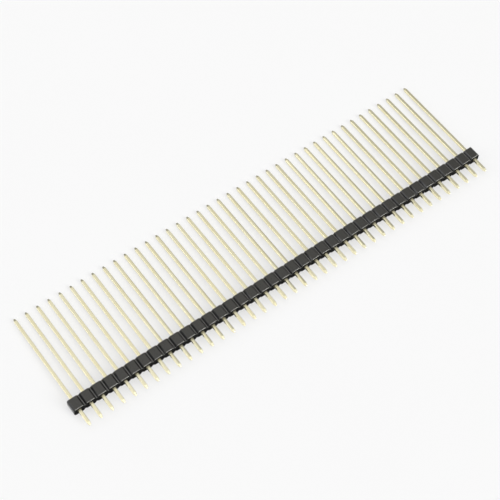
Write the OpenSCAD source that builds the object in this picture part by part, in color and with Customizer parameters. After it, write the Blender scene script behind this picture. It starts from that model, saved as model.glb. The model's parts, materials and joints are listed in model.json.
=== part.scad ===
// Breakaway pin header: one straight row of long square pins in a moulded housing.
// The row runs along X, the pins along Y with their long ends at +Y, and Z is up.
// The strip is heavier on its long side, so it rests on the lower far edge of the
// housing and on the points of the long pins, with its tails a little in the air.

/* [Row] */
// Number of pins in the row
positions = 40; // [2:1:40]
// Distance from one pin to the next
pitch = 2.54; // [2.3:0.01:2.9]

/* [Housing] */
// Length of the housing along the pins
housing_length = 2.54; // [2:0.02:4]
// Height of the housing across the pins
housing_height = 2.2; // [2:0.1:3.2]
// Width of the thin web that joins two units
web_width = 0.2; // [0.1:0.05:0.4]
// Depth of the break grooves, above and below each web
groove_depth = 0.45; // [0.3:0.05:0.8]
// Width of each sloping side of a groove
groove_slope = 0.34; // [0.2:0.02:0.5]
// Radius of the four long edges of the housing
edge_radius = 0.1; // [0.05:0.01:0.2]
// Width and depth of the funnel round the mouth of each pin hole
lead_in = 0.15; // [0.05:0.01:0.25]

/* [Pins] */
// Side of the square pins
pin_side = 0.64; // [0.5:0.02:0.8]
// Length of a pin beyond the housing on the long side
long_reach = 20.7; // [16:0.1:30]
// Length of a pin beyond the housing on the tail side
tail_reach = 3.6; // [2:0.1:6]
// Length of the four-sided point at each end of a pin
point_length = 0.6; // [0.3:0.05:1]
// Side of the small flat that ends each point
point_side = 0.34; // [0.2:0.02:0.46]

/* [Hidden] */
$fn = 48;
// How far a cutter or a blank runs past the faces that it trims
overrun = 0.1;

// Half widths of one unit: at its grooves, and of its flat top and bottom faces
unit_half = (pitch - web_width) / 2;
face_half = unit_half - groove_slope;
row_length = positions * pitch - web_width;

// Ends of the pins, and where their points begin, along Y from the middle of the housing
long_end = housing_length / 2 + long_reach;
tail_end = -housing_length / 2 - tail_reach;
long_shoulder = long_end - point_length;
tail_shoulder = tail_end + point_length;

// Lean at rest: the table touches the rounded far edge of the housing and, beyond it,
// the underside of the long pins where their points begin
edge_to_shoulder = [
    long_shoulder - (housing_length / 2 - edge_radius),
    (edge_radius - housing_height / 2) + pin_side / 2
];
lean = asin(edge_radius / norm(edge_to_shoulder)) - atan2(edge_to_shoulder.y, edge_to_shoulder.x);
rest_lift = long_shoulder * sin(lean) + pin_side / 2 * cos(lean);
rest_shift = -(long_end + tail_end) / 2 * cos(lean);

housing_colour = [0.14, 0.14, 0.15];
pin_colour = [0.93, 0.89, 0.74];

function pin_x(i) = (i - (positions - 1) / 2) * pitch;
function pin_name(i) = str("pin_", i < 9 ? "0" : "", i + 1);

// Outline with equal left and right sides, from stations of [position, half width]
function two_sided(stations) = concat(
    [for (s = stations) [s[1], s[0]]],
    [for (i = [len(stations) - 1 : -1 : 0]) [-stations[i][1], stations[i][0]]]
);

// A pin from its tail to its long end
pin_stations = [
    [tail_end, point_side / 2],
    [tail_shoulder, pin_side / 2],
    [long_shoulder, pin_side / 2],
    [long_end, point_side / 2]
];

// A pin hole: the pin's own square, which grips it, with a funnel at each mouth
mouth = [housing_length / 2 + overrun, pin_side / 2 + lead_in + overrun];
throat = [housing_length / 2 - lead_in, pin_side / 2];
hole_stations = [[-mouth[0], mouth[1]], [-throat[0], throat[1]], throat, mouth];

// The top edge of the whole row, seen along the pins: a flat and two slopes for each unit
top_line = [
    for (i = [0 : positions - 1])
        each [
            [pin_x(i) - unit_half, housing_height / 2 - groove_depth],
            [pin_x(i) - face_half, housing_height / 2],
            [pin_x(i) + face_half, housing_height / 2],
            [pin_x(i) + unit_half, housing_height / 2 - groove_depth]
        ]
];
bottom_line = [for (i = [len(top_line) - 1 : -1 : 0]) [top_line[i].x, -top_line[i].y]];

// Turns a child drawn in X and Y so that its own Z runs along the row
module along_row() {
    rotate([90, 0, 90]) children();
}

module rounded_rectangle(size, radius) {
    inner = size - [2 * radius, 2 * radius];
    square([size.x, inner.y], center = true);
    square([inner.x, size.y], center = true);
    for (x = [-0.5, 0.5], y = [-0.5, 0.5])
        translate([x * inner.x, y * inner.y]) circle(radius);
}

// Square bars with one outline, seen from above and from the side, at each place in the list
module square_bars(stations, places) {
    widest = max([for (s = stations) s[1]]);
    intersection() {
        linear_extrude(2 * widest + overrun, center = true)
            for (x = places) translate([x, 0]) polygon(two_sided(stations));
        translate([(places[0] + places[len(places) - 1]) / 2, 0, 0])
            rotate([0, 90, 0])
                linear_extrude(places[len(places) - 1] - places[0] + 2 * widest + overrun, center = true)
                    polygon(two_sided(stations));
    }
}

// Leans what is drawn about the housing's middle into the pose in which the strip rests
module at_rest() {
    translate([0, rest_shift, rest_lift]) rotate([-lean, 0, 0]) children();
}

// Octagonal units joined by thin webs, with a square hole through each unit
module housing() {
    color(housing_colour) at_rest() difference() {
        intersection() {
            rotate([90, 0, 0])
                linear_extrude(housing_length + overrun, center = true)
                    polygon(concat(top_line, bottom_line));
            along_row()
                linear_extrude(row_length + overrun, center = true)
                    rounded_rectangle([housing_length, housing_height], edge_radius);
        }
        square_bars(hole_stations, [for (i = [0 : positions - 1]) pin_x(i)]);
    }
}

// One square pin, pointed at both ends, through its unit of the housing
module pin(i) {
    color(pin_colour) at_rest() square_bars(pin_stations, [pin_x(i)]);
}

housing();
for (i = [0 : positions - 1])
    pin(i);
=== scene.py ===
"""Looks of the pin header strip: a black moulded housing and forty pale gold pins,
lying on a white table in a soft studio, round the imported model.

The angles given here are in degrees, an azimuth runs from +Y towards +X, and colours are
linear red, green, blue and alpha."""
import json
import math

import bpy
from mathutils import Matrix, Vector

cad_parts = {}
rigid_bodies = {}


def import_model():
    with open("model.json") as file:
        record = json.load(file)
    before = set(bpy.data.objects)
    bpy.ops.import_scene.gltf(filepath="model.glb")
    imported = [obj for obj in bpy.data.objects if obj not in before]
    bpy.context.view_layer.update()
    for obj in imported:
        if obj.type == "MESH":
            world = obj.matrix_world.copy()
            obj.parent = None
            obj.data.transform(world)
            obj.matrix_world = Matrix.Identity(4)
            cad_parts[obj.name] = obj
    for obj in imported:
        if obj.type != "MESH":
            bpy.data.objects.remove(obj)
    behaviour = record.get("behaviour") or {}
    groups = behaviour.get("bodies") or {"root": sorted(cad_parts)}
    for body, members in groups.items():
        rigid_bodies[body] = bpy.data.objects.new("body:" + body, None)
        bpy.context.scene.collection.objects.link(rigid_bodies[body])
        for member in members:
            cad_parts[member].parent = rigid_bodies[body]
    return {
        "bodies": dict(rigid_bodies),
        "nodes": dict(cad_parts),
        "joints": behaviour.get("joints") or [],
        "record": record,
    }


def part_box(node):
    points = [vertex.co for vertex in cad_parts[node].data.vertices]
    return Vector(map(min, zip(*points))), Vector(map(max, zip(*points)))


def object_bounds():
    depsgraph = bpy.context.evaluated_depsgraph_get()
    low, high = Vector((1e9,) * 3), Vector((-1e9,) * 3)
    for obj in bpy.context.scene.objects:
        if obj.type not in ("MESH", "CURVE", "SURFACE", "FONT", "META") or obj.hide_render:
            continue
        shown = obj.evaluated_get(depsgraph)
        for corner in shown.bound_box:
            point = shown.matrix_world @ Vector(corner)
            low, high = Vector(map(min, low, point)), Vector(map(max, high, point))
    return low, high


MM = 0.001      # metres


# ---------------------------------------------------------------- camera

CAMERA_AZIMUTH = 44.00      # the way that the camera looks
CAMERA_ELEVATION = 60.49    # of the camera above the horizon
CAMERA_ROLL = 8.37          # of the camera about the way that it looks
CAMERA_FIELD = 22.99        # across the picture
CAMERA_DISTANCE = 246.75 * MM
CAMERA_AIM = (-3.11 * MM, -0.40 * MM, 0)    # from the centre of the strip
CAMERA_NEAR, CAMERA_FAR = 0.01, 20          # limits of what it sees, in metres
FILM_WIDTH = 36             # in the same unit as the lens


def direction(azimuth, elevation):
    """Unit vector at an azimuth and an elevation above the horizon."""
    azimuth, elevation = math.radians(azimuth), math.radians(elevation)
    level = math.cos(elevation)
    return Vector((math.sin(azimuth) * level, math.cos(azimuth) * level, math.sin(elevation)))


def add_camera(low, high):
    """The photo's camera, aimed at the box from low to high."""
    look = direction(CAMERA_AZIMUTH, -CAMERA_ELEVATION)
    roll = math.radians(CAMERA_ROLL)
    level_right = look.cross(Vector((0, 0, 1))).normalized()
    level_up = level_right.cross(look)
    right = level_right * math.cos(roll) + level_up * math.sin(roll)
    up = level_up * math.cos(roll) - level_right * math.sin(roll)
    aim = (low + high) / 2 + Vector(CAMERA_AIM)
    data = bpy.data.cameras.new("camera")
    data.sensor_width = FILM_WIDTH
    data.lens = FILM_WIDTH / 2 / math.tan(math.radians(CAMERA_FIELD / 2))
    data.clip_start = CAMERA_NEAR
    data.clip_end = CAMERA_FAR
    camera = bpy.data.objects.new("camera", data)
    turn = Matrix((right, up, -look)).transposed().to_4x4()
    camera.matrix_world = Matrix.Translation(aim - look * CAMERA_DISTANCE) @ turn
    bpy.context.scene.collection.objects.link(camera)
    bpy.context.scene.camera = camera


# ---------------------------------------------------------------- nodes

class Nodes:
    """Adds shader nodes to a tree. An input is given as a value or as another node's output."""

    # sockets of a colour Mix node, which shares their names with other kinds of mix
    MIX_FACTOR, MIX_A, MIX_B, MIX_RESULT = 0, 6, 7, 2

    def __init__(self, tree):
        self.tree = tree

    def add(self, kind, settings=None, **inputs):
        node = self.tree.nodes.new(kind)
        for name, value in (settings or {}).items():
            setattr(node, name, value)
        for name, value in inputs.items():
            self.set(node, name, value)
        return node

    def set(self, node, socket, value):
        socket = node.inputs[socket]
        if isinstance(value, bpy.types.NodeSocket):
            self.tree.links.new(value, socket)
        else:
            socket.default_value = value

    def fill(self, node, values):
        """The node, with its first inputs set in their order."""
        for i, value in enumerate(values):
            self.set(node, i, value)
        return node

    def scalar(self, operation, *values):
        return self.fill(self.add("ShaderNodeMath", {"operation": operation}), values).outputs[0]

    def vector(self, operation, *values):
        node = self.fill(self.add("ShaderNodeVectorMath", {"operation": operation}), values)
        return node.outputs["Value" if operation == "DOT_PRODUCT" else "Vector"]

    def absolute(self, value):
        return self.scalar("ABSOLUTE", value)

    def product(self, first, *others):
        for value in others:
            first = self.scalar("MULTIPLY", first, value)
        return first

    def total(self, first, *others):
        for value in others:
            first = self.scalar("ADD", first, value)
        return first

    def ramp(self, value, start, end, low=0, high=1, shape="SMOOTHSTEP"):
        """low where value is below start, high above end, and between the two in between."""
        node = self.add("ShaderNodeMapRange", {"interpolation_type": shape, "clamp": True})
        return self.fill(node, (value, start, end, low, high)).outputs[0]

    def mix(self, factor, a, b):
        """Colour a where factor is 0 and colour b where it is 1."""
        node = self.add("ShaderNodeMix", {"data_type": "RGBA"})
        self.set(node, self.MIX_FACTOR, factor)
        self.set(node, self.MIX_A, a)
        self.set(node, self.MIX_B, b)
        return node.outputs[self.MIX_RESULT]

    def noise(self, place, scale=1, detail=2, roughness=0.5):
        """Cloudy values round 0.5, in lumps about 1 / scale across."""
        node = self.add("ShaderNodeTexNoise", Vector=place, Scale=scale, Detail=detail,
                        Roughness=roughness)
        return node.outputs[0]

    def stretch(self, place, scale):
        return self.vector("MULTIPLY", place, Vector(scale))

    def facing(self, normal, way):
        """How squarely a face looks along a direction or against it, from 0 to 1."""
        return self.absolute(self.vector("DOT_PRODUCT", normal, way))

    def bump(self, height, depth, normal=None):
        """A normal that height has bent, and on which another bump can be laid."""
        node = self.add("ShaderNodeBump", Height=height, Distance=depth)
        if normal is not None:
            self.set(node, "Normal", normal)
        return node.outputs[0]


def new_material(name):
    material = bpy.data.materials.new(name)
    material.use_nodes = True
    return material, Nodes(material.node_tree), material.node_tree.nodes["Principled BSDF"]


def grey(value):
    return (value, value, value, 1)


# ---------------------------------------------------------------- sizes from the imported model

class Strip:
    """Where the strip lies and how it is divided, from the record's mounts and the frame's
    boxes. Its lengths are in mm, apart from seat, the middle of the housing's board face in
    the scene, and its lean is in radians."""

    def __init__(self, frame):
        mounts = {m["name"]: m for m in frame["record"]["mounts"]}
        self.row = Vector((1, 0, 0))                    # along the row of pins
        self.out = Vector(mounts["pcb_seat"]["axis"])   # along the pins, towards their tails
        self.up = self.out.cross(self.row)              # square to both
        self.lean = math.atan2(self.out.z, -self.out.y)
        self.seat = Vector(mounts["pcb_seat"]["pos_m"])
        self.long_end = self.along(mounts["contact_pins"]["pos_m"])
        first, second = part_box("pin_01"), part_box("pin_02")
        self.pitch = (second[0].x - first[0].x) / MM
        self.first_pin = (first[0].x + first[1].x) / 2 / MM

    def along(self, point):
        """Distance of a point from the board face, along the pins towards their long ends."""
        step = Vector(point) - self.seat
        return (step.y * math.cos(self.lean) - step.z * math.sin(self.lean)) / MM

    def place(self, nodes):
        """Position in mm on the strip: X along the row, Y along the pins from the board face
        of the housing, Z across both from the middle of the pins."""
        turn = Matrix.Rotation(self.lean, 3, "X")
        coordinates = nodes.add("ShaderNodeTexCoord").outputs["Object"]
        mapping = nodes.add("ShaderNodeMapping", Vector=coordinates)
        mapping.inputs["Scale"].default_value = (1 / MM, 1 / MM, 1 / MM)
        mapping.inputs["Rotation"].default_value = (self.lean, 0, 0)
        mapping.inputs["Location"].default_value = -(turn @ self.seat) / MM
        return mapping.outputs[0]


# ---------------------------------------------------------------- black plastic

RESIN_DEEP = (0.016, 0.0150, 0.0115, 1)
RESIN_PALE = (0.024, 0.0225, 0.0175, 1)
RESIN_GRAIN = (0.031, 0.0295, 0.024, 1)
RESIN_IOR = 1.6
# painted shade on the faces that the pins come through: near black, with their reflections
# dimmed
PIERCED_FACE_SHADE = grey(0.004)
PIERCED_REFLECTION_SHADE = grey(0.1)       # tint of what that face reflects
# painted highlight along the rounded long edges of the housing
EDGE_HIGHLIGHT_PAINT = (0.47, 0.46, 0.425, 1)
GROOVE_SIDE_SHADE = (0.007, 0.007, 0.0068, 1)
BREAK_HOLLOW = grey(0.02)
BREAK_CRUMB = (0.42, 0.43, 0.43, 1)
# painted highlight on the level faces of the webs
WEB_HIGHLIGHT_PAINT = (0.11, 0.107, 0.10, 1)


def black_plastic(strip):
    """The housing. Its faces are told apart by how squarely they look along the pins, along
    the row, or up and down."""
    material, n, shader = new_material("black_moulded_plastic")
    place = strip.place(n)
    axes = n.add("ShaderNodeSeparateXYZ", Vector=place)
    normal = n.add("ShaderNodeNewGeometry").outputs["True Normal"]
    facing_pins = n.facing(normal, strip.out)
    facing_row = n.facing(normal, strip.row)
    facing_up = n.facing(normal, strip.up)

    # cloudy shade of the resin, and the fine grain of the mould
    cloud = n.noise(place, scale=0.8, detail=3)
    grain = n.noise(place, scale=22, roughness=0.6)
    shade = n.mix(cloud, RESIN_DEEP, RESIN_PALE)
    shade = n.mix(n.ramp(grain, start=0.35, end=0.7), shade, RESIN_GRAIN)

    # the two faces that the pins come through are duller, and painted blacker as painted shade
    pierced = n.ramp(facing_pins, start=0.85, end=0.97)
    shade = n.mix(pierced, shade, PIERCED_FACE_SHADE)

    # the rounded long edges, clear of the funnels round the pins, carry a painted highlight: a
    # pale colour in patches
    edge_highlight_patches = n.noise(place, scale=3, detail=3, roughness=0.6)
    edge_highlight = n.product(
        n.ramp(facing_pins, start=0.1, end=0.4),
        n.ramp(facing_pins, start=0.8, end=0.97, low=1, high=0),
        n.ramp(n.absolute(axes.outputs["Z"]), start=0.55, end=0.65),
        n.ramp(edge_highlight_patches, start=0.3, end=0.65, low=0.5),
    )
    shade = n.mix(edge_highlight, shade, EDGE_HIGHLIGHT_PAINT)

    # the sides of the grooves are painted blacker: painted shade
    shade = n.mix(n.ramp(facing_row, start=0.6, end=0.75), shade, GROOVE_SIDE_SHADE)

    # the two end faces are rough, whitened breaks
    broken = n.ramp(facing_row, start=0.93, end=0.97)
    crumbs = n.noise(n.stretch(place, (8, 4, 8)), detail=4, roughness=0.65)
    torn = n.mix(n.ramp(crumbs, start=0.34, end=0.66), BREAK_HOLLOW, BREAK_CRUMB)
    shade = n.mix(broken, shade, torn)

    # the level faces of the webs, halfway between two pins, are painted paler in patches: a
    # painted highlight
    from_first = n.scalar("SUBTRACT", axes.outputs["X"], strip.first_pin)
    pitches = n.scalar("DIVIDE", from_first, strip.pitch)
    off_web = n.absolute(n.scalar("SUBTRACT", n.scalar("FRACT", pitches), 0.5))
    web_highlight_patches = n.noise(place, scale=2.5, detail=3)
    web_highlight = n.product(
        n.ramp(off_web, start=0.035, end=0.045, low=1, high=0),
        n.ramp(facing_up, start=0.9, end=0.97),
        n.ramp(web_highlight_patches, start=0.3, end=0.6, low=0.5),
    )
    n.set(shader, "Base Color", n.mix(web_highlight, shade, WEB_HIGHLIGHT_PAINT))

    # moulded to an even gloss, smoother on the long edges with the painted highlight, and
    # rougher on the breaks and round the pins
    gloss = n.noise(place, scale=6, detail=3, roughness=0.6)
    roughness = n.total(
        n.ramp(gloss, start=0.3, end=0.75, low=0.26, high=0.38, shape="LINEAR"),
        n.product(edge_highlight, -0.12),
        n.product(broken, 0.2),
        n.product(pierced, 0.5),
    )
    n.set(shader, "Roughness", roughness)
    # painted shade: what the faces that the pins come through reflect is dimmed to a tenth
    n.set(shader, "Specular Tint", n.mix(pierced, grey(1), PIERCED_REFLECTION_SHADE))
    n.set(shader, "IOR", RESIN_IOR)

    # slightly wavy faces, the crumbs of the breaks, and the grain on top
    wavy = n.bump(n.noise(place, scale=1.3, detail=1), depth=0.006 * MM)
    fractured = n.bump(n.product(crumbs, broken), depth=0.05 * MM, normal=wavy)
    n.set(shader, "Normal", n.bump(grain, depth=0.0025 * MM, normal=fractured))
    return material


# ---------------------------------------------------------------- gold plating

GOLD_PALE = (0.93, 0.88, 0.63, 1)
GOLD_WARM = (0.93, 0.855, 0.56, 1)
GOLD_LINE = (0.86, 0.81, 0.57, 1)
GOLD_UNDERSIDE_SHADE = (0.42, 0.38, 0.25, 1)
GOLD_POINT = (0.76, 0.72, 0.57, 1)
POINT_LENGTH = 0.6      # mm


def gold_plating(strip):
    """The pins."""
    material, n, shader = new_material("pale_gold_plating")
    place = strip.place(n)
    axes = n.add("ShaderNodeSeparateXYZ", Vector=place)

    # two shades in long patches, and the fine lines left by drawing the wire
    patches = n.noise(n.stretch(place, (0.9, 0.35, 0.9)))
    lines = n.noise(n.stretch(place, (16, 0.25, 16)), detail=3, roughness=0.6)
    shade = n.mix(n.ramp(patches, start=0.35, end=0.65), GOLD_PALE, GOLD_WARM)
    shade = n.mix(n.ramp(lines, start=0.35, end=0.75), shade, GOLD_LINE)

    # painted shade: the undersides are darker
    underside_shade = n.ramp(axes.outputs["Z"], start=-0.29, end=-0.21, low=1, high=0)
    shade = n.mix(underside_shade, shade, GOLD_UNDERSIDE_SHADE)

    # at the long ends' points the plating is thin and the copper alloy greys it
    point = n.ramp(axes.outputs["Y"], start=strip.long_end - POINT_LENGTH,
                   end=strip.long_end - POINT_LENGTH / 2)
    n.set(shader, "Base Color", n.mix(point, shade, GOLD_POINT))

    # a bright metal, rubbed matt on the tails next to the housing, where the pins were
    # pressed in
    polish = n.ramp(lines, start=0.3, end=0.7, low=0.17, high=0.3, shape="LINEAR")
    matt = n.ramp(n.absolute(axes.outputs["Y"]), start=0.3, end=1.0, low=0.18, high=0)
    n.set(shader, "Roughness", n.total(polish, matt))
    n.set(shader, "Metallic", 1)
    n.set(shader, "Normal", n.bump(lines, depth=0.002 * MM))
    return material


# ---------------------------------------------------------------- white table

TABLE_SIDE = 4                  # metres
TABLE_SHADE = 0.374
TABLE_MOTTLE = 0.005            # most that the shade wanders either way
TABLE_ROUGHNESS = 0.8
TABLE_GLOW = 0.55               # what the camera sees of it
TABLE_MIRRORED_GLOW = 0.61      # what shows in reflections
TABLE_SHADOW_IN_REFLECTIONS = 0.08     # in reflections
# the ground at the strip, along Y from the middle of the board face, where a painted shadow
# shows in
# reflections: they darken from the first to the second, and clear again from the third to the
# fourth
GROUND_AT_STRIP = (-0.9 * MM, -0.2 * MM, 0, 1 * MM)


def white_table(strip):
    """A white ground for the camera and in reflections, where a painted shadow darkens it close
    to the strip. Its glow lights nothing, so the strip's shadow stays."""
    material, n, shader = new_material("white_table")
    place = n.add("ShaderNodeTexCoord").outputs["Object"]
    path = n.add("ShaderNodeLightPath")
    to_camera, to_mirror = path.outputs["Is Camera Ray"], path.outputs["Is Glossy Ray"]

    along_y = n.add("ShaderNodeSeparateXYZ", Vector=place).outputs["Y"]
    darkens, dark, still_dark, clear = (strip.seat.y + step for step in GROUND_AT_STRIP)
    # painted shadow on the ground close to the strip, seen only in reflections
    open_ground = n.total(n.ramp(along_y, start=darkens, end=dark, low=1, high=0),
                          n.ramp(along_y, start=still_dark, end=clear))
    painted_shadow = n.product(to_mirror, n.scalar("SUBTRACT", 1.0, open_ground))

    mottled = n.mix(n.noise(place, scale=30), grey(TABLE_SHADE - TABLE_MOTTLE),
                    grey(TABLE_SHADE + TABLE_MOTTLE))
    n.set(shader, "Base Color", n.mix(painted_shadow, mottled, grey(TABLE_SHADOW_IN_REFLECTIONS)))
    n.set(shader, "Roughness", TABLE_ROUGHNESS)
    n.set(shader, "Specular IOR Level", 0)

    seen = n.product(to_camera, TABLE_GLOW)
    mirrored = n.product(to_mirror, TABLE_MIRRORED_GLOW, open_ground)
    n.set(shader, "Emission Color", grey(1))
    n.set(shader, "Emission Strength", n.total(seen, mirrored))
    return material


def add_table(low, strip):
    bpy.ops.mesh.primitive_plane_add(size=TABLE_SIDE, location=(0, 0, low.z))
    table = bpy.context.object
    table.name = "table"
    table.data.materials.append(white_table(strip))


# ---------------------------------------------------------------- studio

AMBIENT = 0.26          # light from all round
BACKDROP = 0.95         # what the camera sees beyond the table
# azimuth, elevation, degrees out to which it is full, degrees at which it has faded, strength
SOFTBOXES = [
    (153, 28, 10, 21, 6.5),     # main light, low at the right of the camera
    (-70, 20, 8, 20, 2.4),      # second light, low at the left of the camera
    (-45, 42, 12, 34, 0.3),     # left light, half way up
    (130, 74, 24, 44, 0.26),    # overhead light, on the right
    (112, 66, 15, 28, 0.40),    # its brighter part
    (-45, 68, 20, 52, 0.14),    # white ceiling on the left
    (-10, 62, 15, 42, 0.38),    # white ceiling behind on the left
    (42, 18, 8, 26, 0.35),      # white wall behind the strip
    (224, 60, 20, 45, 0.70),    # fill from the camera's side
]


def add_world():
    """The lights, as bright round patches of the world with soft rims."""
    world = bpy.data.worlds.new("studio")
    world.use_nodes = True
    bpy.context.scene.world = world
    n = Nodes(world.node_tree)
    towards = n.vector("NORMALIZE", n.add("ShaderNodeTexCoord").outputs["Generated"])
    strength = AMBIENT
    for azimuth, elevation, full, faded, power in SOFTBOXES:
        cosine = n.vector("DOT_PRODUCT", towards, direction(azimuth, elevation))
        patch = n.ramp(cosine, start=math.cos(math.radians(faded)),
                       end=math.cos(math.radians(full)), high=power)
        strength = n.total(strength, patch)
    seen = n.product(n.add("ShaderNodeLightPath").outputs["Is Camera Ray"], BACKDROP)
    background = world.node_tree.nodes["Background"]
    n.set(background, "Color", grey(1))
    n.set(background, "Strength", n.scalar("MAXIMUM", strength, seen))


# ---------------------------------------------------------------- edges

HOUSING_SOFTNESS = 0.015 * MM
PIN_SOFTNESS = 0.09 * MM
WELD_DISTANCE = 0.001 * MM      # corners closer than this become one
FLAT_ANGLE = 1                  # faces that turn less than this become one
SHARP_ANGLE = 25                # edges that turn more than this are rounded
ROUND_STEPS = 3                 # faces across a rounded edge


def soften_edges(piece, width):
    """Rounds the sharp edges of a CAD piece a little, as moulding and plating do."""
    weld = piece.modifiers.new("weld", "WELD")
    weld.merge_threshold = WELD_DISTANCE
    flat = piece.modifiers.new("flat", "DECIMATE")
    flat.decimate_type = "DISSOLVE"
    flat.angle_limit = math.radians(FLAT_ANGLE)
    bevel = piece.modifiers.new("bevel", "BEVEL")
    bevel.width = width
    bevel.segments = ROUND_STEPS
    bevel.limit_method = "ANGLE"
    bevel.angle_limit = math.radians(SHARP_ANGLE)
    bevel.harden_normals = True


# ---------------------------------------------------------------- scene

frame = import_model()
cad_low, cad_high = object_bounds()
strip = Strip(frame)

add_camera(cad_low, cad_high)
add_table(cad_low, strip)
add_world()
bpy.context.scene.view_settings.view_transform = "Standard"

finishes = {
    "housing": (black_plastic(strip), HOUSING_SOFTNESS),
    "pin_plating": (gold_plating(strip), PIN_SOFTNESS),
}
for part in frame["record"]["subparts"]:
    piece = frame["nodes"][part["node"]]
    material, softness = finishes[part["material_slot"]]
    piece.data.materials.clear()
    piece.data.materials.append(material)
    soften_edges(piece, softness)
